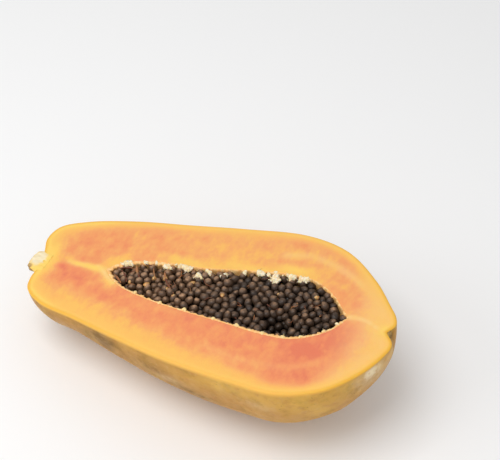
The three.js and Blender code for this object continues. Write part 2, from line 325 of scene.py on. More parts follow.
# Where the flesh is a clear lemon yellow: along the rim, most of all at the stem end, and in soft spots.
LEMON_SPOTS = [
    (-113.5, -1.5, 4.5, 12, 1.0), (-79, -2.6, 6, 3.2, 0.9), (-90, -2.6, 6, 1.9, 0.8),
    (47, 35.5, 10, 3.5, 0.8), (116.5, 4.5, 4, 4.6, 1.0), (18, 28, 20, 3, 0.45), (-22, 21, 20, 4, 0.45),
    (-62, -10.5, 5, 1.5, 0.5),
]
LEMON_STEM = (-74, -104)  # the x between which the stem end's rim turns lemon
STEM_RIM, WHOLE_RIM = (2.6, 2.4), (2.2, 1.5)  # each rim's distance from the rind and half width
STEM_LEMON, WHOLE_LEMON = 0.75, 0.3
lemon = STEM_LEMON * eased(cut_x, *LEMON_STEM) * bell(rim_gap, *STEM_RIM)
lemon = np.clip(lemon + WHOLE_LEMON * bell(rim_gap, *WHOLE_RIM) + soft_spots(cut, LEMON_SPOTS), 0, 1)

# How golden the last of the flesh is, right under the rind: more so at both ends.
RIM_GOLD = [[-118, 0.9], [-60, 0.7], [-20, 0.35], [60, 0.35], [85, 0.6], [105, 0.9], [122, 0.95]]

# The rind's olive patches with some painted shade, brighter parts, and painted highlights with a little
# waxy bloom on the near side, each as (x, z, half length, half height, strength).
# Most are olive patches, but those low on the middle of the belly, at (-14, -22), (-16, -15) and (12, -33),
# are painted shade darkening its lower left and lower edge.
RIND_OLIVE_AND_SHADE_PATCHES = [
    (-52, -8, 12, 12, 0.95), (-46, -12, 5, 6, 0.5), (-98, -14, 24, 22, 0.3), (-14, -22, 22, 9, 0.3),
    (12, -33, 18, 8, 0.6), (13, -4, 4.5, 3, 0.45), (-16, -15, 16, 12, 0.3),
]
RIND_BRIGHT = [(58, -8, 34, 8, 0.7), (88, -14, 18, 12, 0.6), (109, -5, 7, 6, 0.7)]
# Pale spots on the near side: mostly painted highlights where a soft lamp would shine on the rind, partly
# waxy bloom.
RIND_HIGHLIGHTS_AND_BLOOM = [
    (118.4, -4.6, 3.2, 4.6, 0.95), (117, -10, 6, 9, 0.35), (0, -22, 9, 3.5, 0.3), (60, -17, 9, 4, 0.25),
]
NEAR_HALF = (6, -6)  # the y between which these begin
BLOSSOM_DIMPLE = (118, 3.5, 5, 5, 0.9)  # the olive spot round the blossom scar
DIMPLE_DEPTH = (14, 2)  # how far under the cut it fades out and is full
side_of_belly = np.dstack([belly[..., 0], belly[..., 2], belly[..., 1]])
near_belly = eased(belly[..., 1], *NEAR_HALF)
# Olive patches and painted shade on the near side, and the olive dimple round the blossom scar.
olive_and_shade = soft_spots(side_of_belly, RIND_OLIVE_AND_SHADE_PATCHES) * near_belly
olive_and_shade += soft_spots(belly, [BLOSSOM_DIMPLE]) * eased(-belly[..., 2], *DIMPLE_DEPTH)
bright = soft_spots(side_of_belly, RIND_BRIGHT) * near_belly
# Painted highlights, with a little waxy bloom, on the near side.
highlight_and_bloom = soft_spots(side_of_belly, RIND_HIGHLIGHTS_AND_BLOOM) * near_belly

# The cavity's wall is flesh at the rim and browner placental tissue from a little below it.
WALL_STARTS = (0.5, 1.6)
WALL_RIPE, WALL_PALE = 0.3, 0.2
FAR_FROM_RIM = 30  # the wall counts as this far from the rind

gold = along_x(cut, RIM_GOLD)
wall = eased(-bowl[..., 2], *WALL_STARTS)
fruit = shell(
    "papaya_half",
    (cut, False, {"rim_gap": rim_gap, "ripe": ripe, "vessel": vessel, "lemon": lemon, "gold": gold}),
    (belly, True, {"rind": 1, "olive_and_shade": olive_and_shade, "bright": bright, "highlight_and_bloom": highlight_and_bloom, "drop": -belly[..., 2]}),
    (bowl, False, {"rim_gap": FAR_FROM_RIM, "ripe": WALL_RIPE, "vessel": WALL_PALE, "wall": wall}),
)
# The belly is flat where it lies on the ground.
lying = np.zeros(len(fruit.data.vertices) * 3)
fruit.data.vertices.foreach_get("co", lying)
lying[2::3] = np.maximum(lying[2::3], 0)
fruit.data.vertices.foreach_set("co", lying)
fruit.data.update()


class Nodes:
    """A material's nodes, added and linked in one line each. Sizes of noise are in millimetres."""

    def __init__(self, name):
        self.material = bpy.data.materials.new(name)
        self.material.use_nodes = True
        self.tree = self.material.node_tree
        self.shader = self.tree.nodes["Principled BSDF"]
        self.place = self.add("ShaderNodeTexCoord").outputs["Object"]

    def add(self, kind, inputs=None, **settings):
        node = self.tree.nodes.new(kind)
        for name, value in settings.items():
            setattr(node, name, value)
        for name, value in (inputs or {}).items():
            self.put(node.inputs[name], value)
        return node

    def put(self, socket, value):
        if isinstance(value, bpy.types.NodeSocket):
            self.tree.links.new(value, socket)
        else:
            socket.default_value = value

    def math(self, operation, *values):
        return self.add("ShaderNodeMath", dict(enumerate(values)), operation=operation).outputs[0]

    def fact(self, name):
        """The value of one of the mesh's own attributes."""
        return self.add("ShaderNodeAttribute", attribute_name=name).outputs["Fac"]

    def noise(self, size, detail=4, rough=0.55, stretch=(1, 1, 1), seed=0.0):
        moved = {"Vector": self.place, "Scale": stretch, "Location": (seed, seed * 0.7, -seed)}
        place = self.add("ShaderNodeMapping", moved).outputs[0]
        kind = {"Vector": place, "Scale": 1 / (size * MM), "Detail": detail, "Roughness": rough}
        return self.add("ShaderNodeTexNoise", kind).outputs["Fac"]

    def spread(self, value, low, high, to_low=0.0, to_high=1.0):
        """From to_low to to_high on an S curve while the value goes from low to high."""
        ends = {"Value": value, "From Min": low, "From Max": high, "To Min": to_low, "To Max": to_high}
        return self.add("ShaderNodeMapRange", ends, interpolation_type="SMOOTHSTEP").outputs[0]

    def mix(self, share, first, second):
        sides = {0: share, 6: first, 7: second}
        return self.add("ShaderNodeMix", sides, data_type="RGBA").outputs[2]

    def dab(self, base, color, share, most):
        """The base colour with another over it, as strong as the product of the share and the most."""
        return self.mix(self.math("MULTIPLY", share, most), base, color)

    def ramp(self, value, stops):
        node = self.add("ShaderNodeValToRGB", {"Fac": value})
        elements = node.color_ramp.elements
        while len(elements) < len(stops):
            elements.new(0.5)
        for element, (position, color) in zip(elements, stops):
            element.position, element.color = position, color
        return node.outputs["Color"]

    def bump(self, height, strength, distance, **over):
        inputs = {"Height": height, "Strength": strength, "Distance": distance * MM, **over}
        return self.add("ShaderNodeBump", inputs).outputs["Normal"]

    def shade(self, pieces, inputs):
        """Sets or links the surface's inputs and gives the pieces the material."""
        for name, value in inputs.items():
            self.put(self.shader.inputs[name], value)
        for piece in pieces:
            piece.data.materials.append(self.material)


def paint(red, green, blue):
    """An sRGB colour from 0 to 255, as linear light."""
    value = np.array([red, green, blue]) / 255
    linear = np.where(value <= 0.04045, value / 12.92, ((value + 0.055) / 1.055) ** 2.4)
    return (*linear.tolist(), 1.0)


FLESH_STAGES = [
    (0.0, paint(246, 190, 98)), (0.18, paint(245, 182, 99)), (0.38, paint(241, 168, 103)),
    (0.56, paint(239, 156, 99)), (0.75, paint(236, 144, 97)), (1.0, paint(228, 126, 93)),
]
RIPEST = 1.33  # the ripeness of the last stage
FLESH_RIM = paint(236, 180, 62)
FLESH_PALE = paint(248, 206, 138)
FLESH_LEMON = paint(250, 209, 104)
WALL_TAN = paint(246, 184, 108)
WALL_BROWN = paint(204, 130, 74)
RIND_TAN = paint(196, 142, 62)
RIND_OCHRE = paint(205, 152, 62)
RIND_GOLD = paint(230, 183, 82)
RIND_OLIVE = paint(122, 88, 32)
RIND_BROWN = paint(104, 72, 40)
RIND_GREEN = paint(116, 102, 36)
RIND_BLOOM = paint(206, 166, 104)
RIND_HIGHLIGHT = paint(246, 224, 182)
RIND_EDGE = paint(206, 160, 62)
RIND_RUST = paint(190, 130, 62)

n = Nodes("papaya_flesh_and_rind")
wander = n.noise(14, detail=3, stretch=(0.8, 1, 1))
mottle = n.noise(6, detail=3, rough=0.6, stretch=(1, 0.55, 0.55), seed=0.3)
grainy = n.noise(2.2, detail=3, rough=0.6, stretch=(1, 0.6, 0.6), seed=0.9)
uneven = 0.0
for noise, weight in ((wander, 0.75), (mottle, 1.05), (grainy, 0.45)):
    uneven = n.math("MULTIPLY_ADD", n.math("SUBTRACT", noise, 0.5), weight, uneven)
paler_cells = n.spread(n.noise(6, detail=2, stretch=(1, 0.6, 0.6), seed=12.4), 0.5, 0.78)
uneven = n.math("MULTIPLY_ADD", paler_cells, -0.26, uneven)
uneven = n.math("MULTIPLY", uneven, n.spread(n.fact("rim_gap"), 3, 14, 0.15, 1.0))
flesh = n.ramp(n.math("DIVIDE", n.math("ADD", n.fact("ripe"), uneven), RIPEST), FLESH_STAGES)
flesh = n.dab(flesh, FLESH_PALE, n.fact("vessel"), n.spread(mottle, 0.25, 0.6, 0.5, 1.0))
flesh = n.dab(flesh, FLESH_LEMON, n.fact("lemon"), n.spread(wander, 0.3, 0.7, 0.7, 1.0))
flesh = n.dab(flesh, FLESH_RIM, n.spread(n.fact("rim_gap"), 2.8, 0.4), n.fact("gold"))
wall = n.mix(n.spread(n.noise(3, seed=3.9), 0.42, 0.66), WALL_TAN, WALL_BROWN)
flesh = n.mix(n.fact("wall"), flesh, wall)

blotch = n.noise(30, stretch=(0.6, 1, 1), seed=1.7)
cloud = n.noise(11, detail=5, rough=0.62, seed=2.9)
scurf = n.noise(3.4, detail=3, rough=0.6, seed=4.1)
speck = n.noise(1.5, detail=2, seed=5.7)
rind = n.mix(n.spread(blotch, 0.4, 0.62), RIND_TAN, RIND_OCHRE)
rind = n.dab(rind, RIND_GOLD, n.spread(n.noise(19, seed=7.7), 0.5, 0.68), 0.6)
rind = n.dab(rind, RIND_GOLD, n.fact("bright"), 0.7)
rind = n.dab(rind, RIND_RUST, n.spread(n.noise(8, rough=0.6, seed=11.3), 0.48, 0.72), 0.55)
# Olive patches, darker still where the belly's lower edge has painted shade.
patchy = n.math("MULTIPLY", n.spread(cloud, 0.45, 0.85), 0.42)
patchy = n.math("MULTIPLY_ADD", n.fact("olive_and_shade"), n.spread(cloud, 0.25, 0.7, 0.55, 1.1), patchy)
rind = n.mix(n.math("MINIMUM", patchy, 0.88), rind, RIND_OLIVE)
rind = n.dab(rind, RIND_GREEN, n.spread(n.noise(16, seed=9.2), 0.52, 0.78), 0.25)
rind = n.dab(rind, RIND_BLOOM, n.spread(scurf, 0.5, 0.74), 0.3)
rind = n.dab(rind, RIND_BROWN, n.spread(speck, 0.66, 0.74), n.spread(cloud, 0.42, 0.62, 0.1, 0.75))
# Painted highlights with a little waxy bloom: a pale wax colour laid over those spots.
rind = n.dab(rind, RIND_HIGHLIGHT, n.fact("highlight_and_bloom"), n.spread(scurf, 0.3, 0.6, 0.4, 1.0))
rind = n.dab(rind, RIND_EDGE, n.spread(n.fact("drop"), 3.2, 0.4), 0.6)

moist = n.spread(mottle, 0.25, 0.75, 0.42, 0.58)
waxy = n.spread(cloud, 0.3, 0.7, 0.4, 0.6)
gloss = n.add("ShaderNodeMix", {0: n.fact("rind"), 2: moist, 3: waxy}, data_type="FLOAT").outputs[0]
pores = n.bump(n.noise(0.9, stretch=(0.7, 1, 1), seed=5.3), 0.3, 0.22)
dimples = n.bump(scurf, 0.25, 0.5, Normal=pores)
n.shade([fruit], {
    "Base Color": n.mix(n.fact("rind"), flesh, rind),
    "Roughness": gloss,
    "Subsurface Weight": 0.18,
    "Subsurface Radius": (1.0, 0.45, 0.25),
    "Subsurface Scale": 0.003,
    "Specular IOR Level": 0.24,
    "Coat Weight": 0.04,
    "Coat Roughness": 0.3,
    "Normal": n.bump(n.noise(8, detail=3, seed=6.1), 0.3, 0.9, Normal=dimples),
})
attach(fruit, "root")
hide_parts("fruit")

# ---- The placenta ----
# Soft pale tissue that lines the rim of the seed cavity and once held the seeds. It is a thin lip down
# the wall, torn by the knife and by lost seeds, and cottony clumps of it hang in over the seeds.

LIP_STEPS = 760
# The lip's thickness along both sides, each as (x, thickness).
LIP_NEAR = [[-70, 1.9], [-62, 1.6], [-45, 1.2], [0, 1.1], [25, 1.4], [50, 1.9], [80, 1.8], [92, 1.2]]
LIP_FAR = [
    [-70, 2.2], [-62, 2.0], [-56, 1.7], [-48, 2.0], [-38, 1.9], [-31, 0.8], [-22, 0.5], [58, 0.4],
    [70, 0.9], [92, 0.8],
]
# Its section: how far in, as a share of its thickness, and how high, from the wall up over the top.
LIP_SECTION = np.array([
    [-0.5, -8.0], [-0.5, -4.0], [-0.5, -0.6], [-0.15, -0.1], [0.15, 0.05], [0.5, -0.1], [0.85, -0.45],
    [1.0, -1.05], [0.9, -1.8], [0.6, -3.0], [0.35, -5.0], [0.1, -8.0],
])
LIP_RAGGED = 0.9  # how much of the thickness comes and goes along the torn edge, at most
LIP_TEARS, LIP_TEAR_LIMITS = [(0.6, 3.1, 11), (0.5, 1.4, 12)], (-0.8, 1.4)
LIP_CREST, LIP_CREST_FROM = [(0.1, 2.0, 13)], 0.1  # its unevenness in height, off the wall
LIP_WALL_LEAN = 0.02  # how fast the wall curves in under the lip, per square of its depth
RIM_SMOOTHING = 4  # how many steps ahead and back the rim's direction is taken from

# Points round the cavity's outline at even lengths, and the directions that lead into the cavity.
walked = np.concatenate([[0], np.cumsum(np.linalg.norm(np.diff(cavity_outline, axis=0), axis=1))])
at = np.linspace(0, walked[-1], LIP_STEPS, endpoint=False)
rim = np.stack([np.interp(at, walked, cavity_outline[:, k]) for k in (0, 1)], 1)
way = unit(np.roll(rim, -RIM_SMOOTHING, axis=0) - np.roll(rim, RIM_SMOOTHING, axis=0))
inward = np.stack([way[:, 1], -way[:, 0]], 1)
flat_rim = np.column_stack([rim, np.zeros(LIP_STEPS)])
# The section is carried round the rim: each point lies its share of the thickness in, at its height.
thickness = np.where(inward[:, 1] < 0, along_x(rim, LIP_FAR), along_x(rim, LIP_NEAR))
ragged = np.clip(relief(flat_rim, LIP_TEARS), *LIP_TEAR_LIMITS)
thickness = (thickness + np.minimum(thickness, LIP_RAGGED) * ragged)[:, None]
share_in, height = LIP_SECTION.T
depth_in = share_in * np.where(share_in < 0, 1, thickness) + LIP_WALL_LEAN * height**2
crest = height + relief(flat_rim, LIP_CREST)[:, None] * (share_in > LIP_CREST_FROM)
lip = flat_rim[:, None] + np.dstack([inward[:, :1] * depth_in, inward[:, 1:] * depth_in, crest])
lip = np.pad(lip, ((0, 1), (0, 1), (0, 0)), mode="wrap")
placenta = shell("placenta_lip", (lip, False, {}))

LIP_YELLOW = paint(246, 186, 110)
LIP_CREAM = paint(252, 214, 150)
LIP_BROWN = paint(222, 146, 88)

n = Nodes("placenta_lip_tissue")
tone = n.mix(n.spread(n.noise(2.4, seed=1.1), 0.42, 0.66), LIP_YELLOW, LIP_CREAM)
tone = n.dab(tone, LIP_BROWN, n.spread(n.noise(5, seed=3.3), 0.55, 0.72), 0.6)
n.shade([placenta], {"Base Color": tone, "Roughness": 0.55, "Normal": n.bump(n.noise(0.7), 0.5, 0.3)})
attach(placenta, "root")
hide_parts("placenta")

# The clumps are heaps of soft curds with fine strands teased out of them. They start at the rim and sag
# onto the seeds.

CLUMPS = [
    # x, y, half length, half width
    (-63, 6.6, 1.8, 1.2), (-60, 9.0, 4.0, 1.5), (-49, 12.6, 1.6, 0.8), (-42.5, 14.2, 1.4, 0.9),
    (-34.6, 13.9, 2.9, 1.6), (-26, 16.6, 2.6, 0.9), (-20.2, 16.2, 3.3, 2.0), (-11, 12.6, 3.2, 2.3),
    (-5.5, 17.0, 1.8, 1.5), (5, 18.4, 1.9, 2.2), (16, 24.0, 1.4, 0.9), (27, 26.8, 3.2, 1.7),
    (36.5, 25.6, 2.9, 3.6), (46.5, 29.4, 3.2, 2.1), (53.8, 29.8, 3.3, 1.6),
    (-6, -17.9, 1.1, 0.8), (30.5, -19.4, 1.4, 1.0), (-43, -14.3, 1.0, 0.8), (-23.3, -17.6, 0.8, 0.6),
    (14, -18.6, 0.9, 0.6), (48, -20.2, 1.6, 0.7), (60, -19.4, 1.6, 0.8), (71, -15.8, 1.4, 0.7),
    (83, -7.4, 1.2, 0.7), (88, 0.6, 1.0, 0.6),
]
CLUMP_DRAW = 61
CLUMP_SPREAD, CLUMP_ROUGH = 0.42, 0.35  # its spread, as a share of its half sizes and in height
CLUMP_UNDER, CLUMP_SAG = 0.5, 0.3  # how far it lies under the cut, and sinks per millimetre off the rim
CURDS_PER_AREA = 4.6
CURD_RADIUS = 1.2
CURD_SIZES = (0.45, 1.2)  # the smallest and the largest, as a share of that
CURD_RADII = (1.25, 1.0, 0.85)  # its half length, width and height, as shares of its size
CURD_DENTS = 0.09
CURD_TOP = -0.35  # the highest that a curd's middle lies
CURD_LATTICE = 0.28  # the cells over which the curds are merged
SOFTENING, SOFTENINGS = 0.5, 6  # how strongly and how often the merged clumps are smoothed
OVOID_RINGS, OVOID_SIDES = 5, 8
OVOID_TAPER = 0.13  # how much narrower one end is than the middle, and the other wider


def turns(count, draw):
    """Random rotation matrices, from unit quaternions with normally drawn parts."""
    parts = draw.normal(size=(4, count))
    w, x, y, z = parts / np.linalg.norm(parts, axis=0)
    matrices = np.array([
        [1 - 2 * (y * y + z * z), 2 * (x * y - z * w), 2 * (x * z + y * w)],
        [2 * (x * y + z * w), 1 - 2 * (x * x + z * z), 2 * (y * z - x * w)],
        [2 * (x * z - y * w), 2 * (y * z + x * w), 1 - 2 * (x * x + y * y)],
    ])
    return np.moveaxis(matrices, -1, 0)


def ovoids(places, sizes, radii, dents, draw):
    """Closed ovoids of few faces: a sphere's rings and sides scaled by the radii and each one's size, one
    end a little narrower than the other, dented at random and turned at random."""
    count = len(places)
    polar = np.linspace(0, np.pi, OVOID_RINGS + 2)[1:-1]
    around = np.linspace(0, 2 * np.pi, OVOID_SIDES, endpoint=False)
    ball = np.stack([
        np.cos(polar)[:, None] * np.ones(OVOID_SIDES),
        np.sin(polar)[:, None] * np.cos(around),
        np.sin(polar)[:, None] * np.sin(around),
    ], -1).reshape(-1, 3)
    ball = np.vstack([ball, [1, 0, 0], [-1, 0, 0]])
    ball[:, 1:] *= 1 - OVOID_TAPER * ball[:, :1]
    uneven_ball = 1 + dents * draw.normal(size=(count, len(ball), 1))
    shaped = ball[None] * np.array(radii) * sizes[:, None, None] * uneven_ball
    return np.einsum("nij,nkj->nki", turns(count, draw), shaped) + places[:, None]


def tube_faces(count, rings, sides, poles=False):
    """Faces for many closed tubes: quads round and along each, and at both ends one face or, with poles,
    a fan to a point of its own. Tubes with poles run backwards, so their faces are turned over."""
    a = np.arange(sides)
    b = np.roll(a, -1)
    first, last = np.arange(rings - 1)[:, None] * sides, (rings - 1) * sides
    cells = np.stack([first + a, first + b, first + sides + b, first + sides + a], -1).reshape(-1, 4)
    ends = np.stack([a[::-1], last + a])
    if poles:
        cells = cells[:, [0, 3, 2, 1]]
        pole = np.full(sides, last + sides)
        ends = np.vstack([np.stack([a, b, pole], 1), np.stack([last + b, last + a, pole + 1], 1)])
    offsets = (np.arange(count) * (last + sides + 2 * poles))[:, None, None]
    return [face for part in (cells, ends) for face in (part + offsets).reshape(-1, part.shape[1]).tolist()]


def clump_places(per_area, draw):
    """Random places in the clumps, as many as their areas ask for, bell-shaped about each middle, sinking
    with their distance from the rim."""
    clumps = np.array(CLUMPS)
    counts = np.ceil(per_area * clumps[:, 2] * clumps[:, 3] + 2).astype(int)
    x, y, half_length, half_width = np.repeat(clumps, counts, axis=0).T
    x = x + half_length * draw.normal(0, CLUMP_SPREAD, len(x))
    y = y + half_width * draw.normal(0, CLUMP_SPREAD, len(y))
    off_rim = gap_to(np.column_stack([x, y]), cavity_outline)
    height = -CLUMP_UNDER - CLUMP_SAG * off_rim + draw.normal(0, CLUMP_ROUGH, len(x))
    return np.column_stack([x, y, height])


draw = np.random.default_rng(CLUMP_DRAW)
curd_places = clump_places(CURDS_PER_AREA, draw)
curd_places[:, 2] = np.minimum(curd_places[:, 2], CURD_TOP)
curd_sizes = draw.uniform(*CURD_SIZES, len(curd_places)) * CURD_RADIUS
curd_points = ovoids(curd_places, curd_sizes, CURD_RADII, CURD_DENTS, draw)
curd_faces = tube_faces(len(curd_places), OVOID_RINGS, OVOID_SIDES, poles=True)
curds = piece_of("placenta_clumps", curd_points, curd_faces)
# The curds run together where they touch, so they are merged and smoothed.
merge = curds.modifiers.new("merge", "REMESH")
merge.mode, merge.voxel_size = "VOXEL", CURD_LATTICE * MM
soften = curds.modifiers.new("soften", "SMOOTH")
soften.factor, soften.iterations = SOFTENING, SOFTENINGS
merged = bpy.data.meshes.new_from_object(curds.evaluated_get(bpy.context.evaluated_depsgraph_get()))
curds.modifiers.clear()
curds.data = merged
merged.polygons.foreach_set("use_smooth", np.full(len(merged.polygons), True))

STRANDS_PER_AREA = 9.0
STRAND_RINGS, STRAND_SIDES = 4, 4
STRAND_LENGTHS, STRAND_RADII = (0.8, 2.2), (0.1, 0.26)
STRAND_WAYS = (0.8, 0.35)  # how widely they point over the seeds, and up and down
STRAND_BEND = 0.4  # as a share of the length
STRAND_TAPER = 0.95
STRAND_TOP = 0.3  # the highest that a strand reaches
TUBE_UNEVEN = (0.7, 1.3)  # the limits of a strand's or thread's local thickness


def rings_round(middle, radius, side, other, sides):
    """Rings of points round the middles of tubes: the middle, and the radius times the cosine of one
    direction across and the sine of the other."""
    angle = np.linspace(0, 2 * np.pi, sides, endpoint=False)[:, None]
    circle = side[:, :, None] * np.cos(angle) + other[:, :, None] * np.sin(angle)
    return middle[:, :, None] + circle * radius[..., None, None]


def strands_from(roots, ways, lengths, radii, draw):
    """Curved tapered strands: at share s along each, the middle is root + way * length * s, bent by a
    random arc of s squared, and the radius shrinks as the square root of 1 less nearly all of s squared."""
    count = len(roots)
    s = np.linspace(0, 1, STRAND_RINGS)
    bend = draw.normal(0, STRAND_BEND, (count, 1, 3)) * lengths[:, None, None]
    middle = roots[:, None] + ways[:, None] * lengths[:, None, None] * s[:, None] + bend * s[:, None] ** 2
    radius = radii[:, None] * np.sqrt(1 - STRAND_TAPER * s**2)
    radius = radius * draw.uniform(*TUBE_UNEVEN, (count, STRAND_RINGS))
    side = unit(np.cross(ways, draw.normal(size=(count, 3))))
    return rings_round(middle, radius, side[:, None], np.cross(ways, side)[:, None], STRAND_SIDES)


roots = clump_places(STRANDS_PER_AREA, draw)
count = len(roots)
ways = np.column_stack([draw.normal(0, STRAND_WAYS[0], (count, 2)), draw.normal(0, STRAND_WAYS[1], count)])
ways = unit(ways)
lengths, radii = draw.uniform(*STRAND_LENGTHS, count), draw.uniform(*STRAND_RADII, count)
strands = strands_from(roots, ways, lengths, radii, draw)
strands[..., 2] = np.minimum(strands[..., 2], STRAND_TOP)
tufts = piece_of("placenta_tufts", strands, tube_faces(count, STRAND_RINGS, STRAND_SIDES))

COTTON_CREAM = paint(240, 212, 160)
COTTON_WHITE = paint(248, 234, 204)
COTTON_YELLOW = paint(250, 216, 150)  # on the near side, where the tissue is thin and the flesh shows

n = Nodes("cottony_placenta")
tone = n.mix(n.spread(n.noise(1.8, seed=1.1), 0.38, 0.62), COTTON_CREAM, COTTON_WHITE)
across_fruit = n.add("ShaderNodeSeparateXYZ", {"Vector": n.place}).outputs["Y"]
n.shade([curds, tufts], {
    "Base Color": n.mix(n.spread(across_fruit, 0.0, -0.012), tone, COTTON_YELLOW),
    "Roughness": 0.65,
    "Subsurface Weight": 0.35,
    "Subsurface Radius": (1.0, 0.7, 0.4),
    "Subsurface Scale": 0.002,
    "Normal": n.bump(n.noise(0.6), 0.6, 0.3),
})
for piece in (curds, tufts):
    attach(piece, "root")
    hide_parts("placenta")

# ---- The seeds ----
# Round dark seeds, each in a thin wet brown jelly skin, lie packed in the cavity nearly up to the cut.
# They are three loose layers of wrinkled ovoids, pushed apart until no two lie deep in each other.

SEED_RADII = (3.15, 2.75, 2.65)
SEED_SIZES = (0.8, 1.12)  # the smallest and the largest, as a share of those
SEED_DENTS = 0.06
SEED_PITCH = 5.35
SEED_MARGIN = 1.8  # how far their middles keep from the cavity's sides
ROW_PITCH = 0.87  # the distance of a hexagonal grid's rows, as a share of its pitch
SEED_SHAKE, SEED_PUSH = 0.3, 0.25  # how far the grid is shaken, and how strongly a round pushes
SEED_LAYERS = (
    # how far the middles lie under the cut face, and the layer's random draw
    (3.3, 21), (7.2, 22), (11.2, 23),
)
SEED_HOLLOWS = [
    # x, y, half length, half width, depth
    (53, -10.4, 7.8, 6.4, 6.0), (17, 12, 4, 4, 1.6), (16, -8, 5, 4, 1.4), (-23, 4, 4, 4, 1.2),
    (-56, 2.6, 4, 4, 1.2), (-51, 8.5, 7, 3.6, 2.2), (-38, 11.5, 5, 3.2, 1.6),
]
FIRST_SEED, LAST_SEED = -64.5, 89.0  # the x of the first and the last
SEED_ROW = (-24, 34)  # the y that a row of the grid spans
LOST_SEEDS_FROM = 1.8  # how deep the first hollow is where the top layer's seeds are missing
SEED_CLEAR = 1.4  # how much higher the seeds' tops may stand in the middle than at the rim
SEED_RIM = (1.5, 6)  # the distances from the rim between which they rise
SEED_TOP = 0.8  # how far above the cut the highest may reach
FAR_WALL_DROP = 0.5  # how much lower the seeds lie along the far wall, where some were lost
FAR_WALL = (7, 2)  # the distances from that wall between which they sink
SEED_WAVES, SEED_ROUGH = [(0.8, 17, 31)], 0.6  # how unevenly they lie
PACKING_ROUNDS = 24
CURVE_STEPS = 400
# How pale a seed is: a random share, more of it towards the stem end, and less with each millimetre of
# depth, as painted shade.
SEED_PALES = (-0.1, 0.75)
STEM_PALER, STEM_PALES = 0.95, (26, -34)
DEPTH_SHADE = 0.12


def side_at(points, x):
    """The y of a side of the cavity at each x, read off its curve."""
    curve = side_curve(points, np.linspace(0, 1, CURVE_STEPS))
    return np.interp(x, curve[:, 0], curve[:, 1])


def packed_seeds(draw):
    """Places and sizes for seeds, from a shaken hexagonal grid. Each round moves both of a pair that is
    closer than its mean size times the pitch by a share of what it lacks, and brings strays back."""
    rows = np.arange(FIRST_SEED, LAST_SEED, SEED_PITCH * ROW_PITCH)
    x, y = np.meshgrid(rows, np.arange(*SEED_ROW, SEED_PITCH), indexing="ij")
    y = y + (np.arange(len(rows)) % 2)[:, None] * SEED_PITCH / 2
    slack = SEED_PITCH * SEED_SHAKE
    spots = np.column_stack([x.ravel(), y.ravel()]) + draw.normal(0, slack, (x.size, 2))

    def room(x):
        """The lowest and the highest y at each x."""
        return side_at(CAVITY_NEAR_SIDE, x) + SEED_MARGIN, side_at(CAVITY_FAR_SIDE, x) - SEED_MARGIN

    x, y = spots.T
    low, high = room(x)
    spots = spots[(y > low - slack) & (y < high + slack) & (low < high + SEED_MARGIN)]
    sizes = draw.uniform(*SEED_SIZES, len(spots))
    wanted = SEED_PITCH * (sizes[:, None] + sizes[None]) / 2
    for _ in range(PACKING_ROUNDS):
        way = spots[:, None] - spots[None]
        gap = np.linalg.norm(way, axis=-1) + np.eye(len(spots)) / TINY
        lack = np.clip(wanted - gap, 0, None) / gap
        spots = spots + SEED_PUSH * (way * lack[..., None]).sum(1)
        spots[:, 0] = np.clip(spots[:, 0], FIRST_SEED, LAST_SEED)
        low, high = room(spots[:, 0])
        middle = (low + high) / 2
        spots[:, 1] = np.clip(spots[:, 1], np.minimum(low, middle), np.maximum(high, middle))
    return spots, sizes


first_drop = SEED_LAYERS[0][0]
layers, tones_and_shade, top_highlights = [], [], []
for drop, seed in SEED_LAYERS:
    draw = np.random.default_rng(seed)
    spots, sizes = packed_seeds(draw)
    lie = np.column_stack([spots, np.zeros(len(spots))])
    off_far_wall = side_at(CAVITY_FAR_SIDE, spots[:, 0]) - spots[:, 1]
    uneven = relief(lie, SEED_WAVES) + draw.normal(0, SEED_ROUGH, len(lie))
    lie[:, 2] = -drop - soft_spots(lie, SEED_HOLLOWS) + uneven
    lie[:, 2] -= FAR_WALL_DROP * eased(off_far_wall, *FAR_WALL)
    tops = SEED_CLEAR * (eased(gap_to(lie, cavity_outline), *SEED_RIM) - 0.5)
    lie[:, 2] = np.minimum(lie[:, 2], tops - SEED_RADII[0] * sizes)
    if drop == first_drop:
        there = soft_spots(lie, SEED_HOLLOWS[:1]) < LOST_SEEDS_FROM
        lie, sizes = lie[there], sizes[there]
    layers.append(ovoids(lie, sizes, SEED_RADII, SEED_DENTS, draw))
    # Painted highlights: how high each point stands over its seed's middle, as a share of its radius.
    top_highlights.append((layers[-1][..., 2] - lie[:, None, 2]) / (SEED_RADII[1] * sizes[:, None]))
    pale = draw.uniform(*SEED_PALES, len(lie)) + STEM_PALER * eased(lie[:, 0], *STEM_PALES)
    # Painted shade: the lower layers and the seeds in the hollows are painted darker.
    pale -= DEPTH_SHADE * (drop - first_drop + soft_spots(lie, SEED_HOLLOWS))
    tones_and_shade.append(np.repeat(pale, layers[-1].shape[1]))
heap = np.concatenate(layers)
heap[..., 2] = np.minimum(heap[..., 2], SEED_TOP)
seed_facts = {"tone": np.concatenate(tones_and_shade), "top_highlight": np.concatenate(top_highlights)}
seed_faces = tube_faces(len(heap), OVOID_RINGS, OVOID_SIDES, poles=True)
seeds = piece_of("papaya_seeds", heap, seed_faces, seed_facts)

SEED_DARK = paint(48, 36, 28)
SEED_BROWN = paint(104, 76, 54)
SEED_HIGHLIGHT = paint(196, 152, 115)

n = Nodes("seed_in_jelly")
wrinkle = n.noise(1.5, detail=3, rough=0.6)
tone = n.dab(SEED_DARK, SEED_BROWN, n.fact("tone"), 0.56)
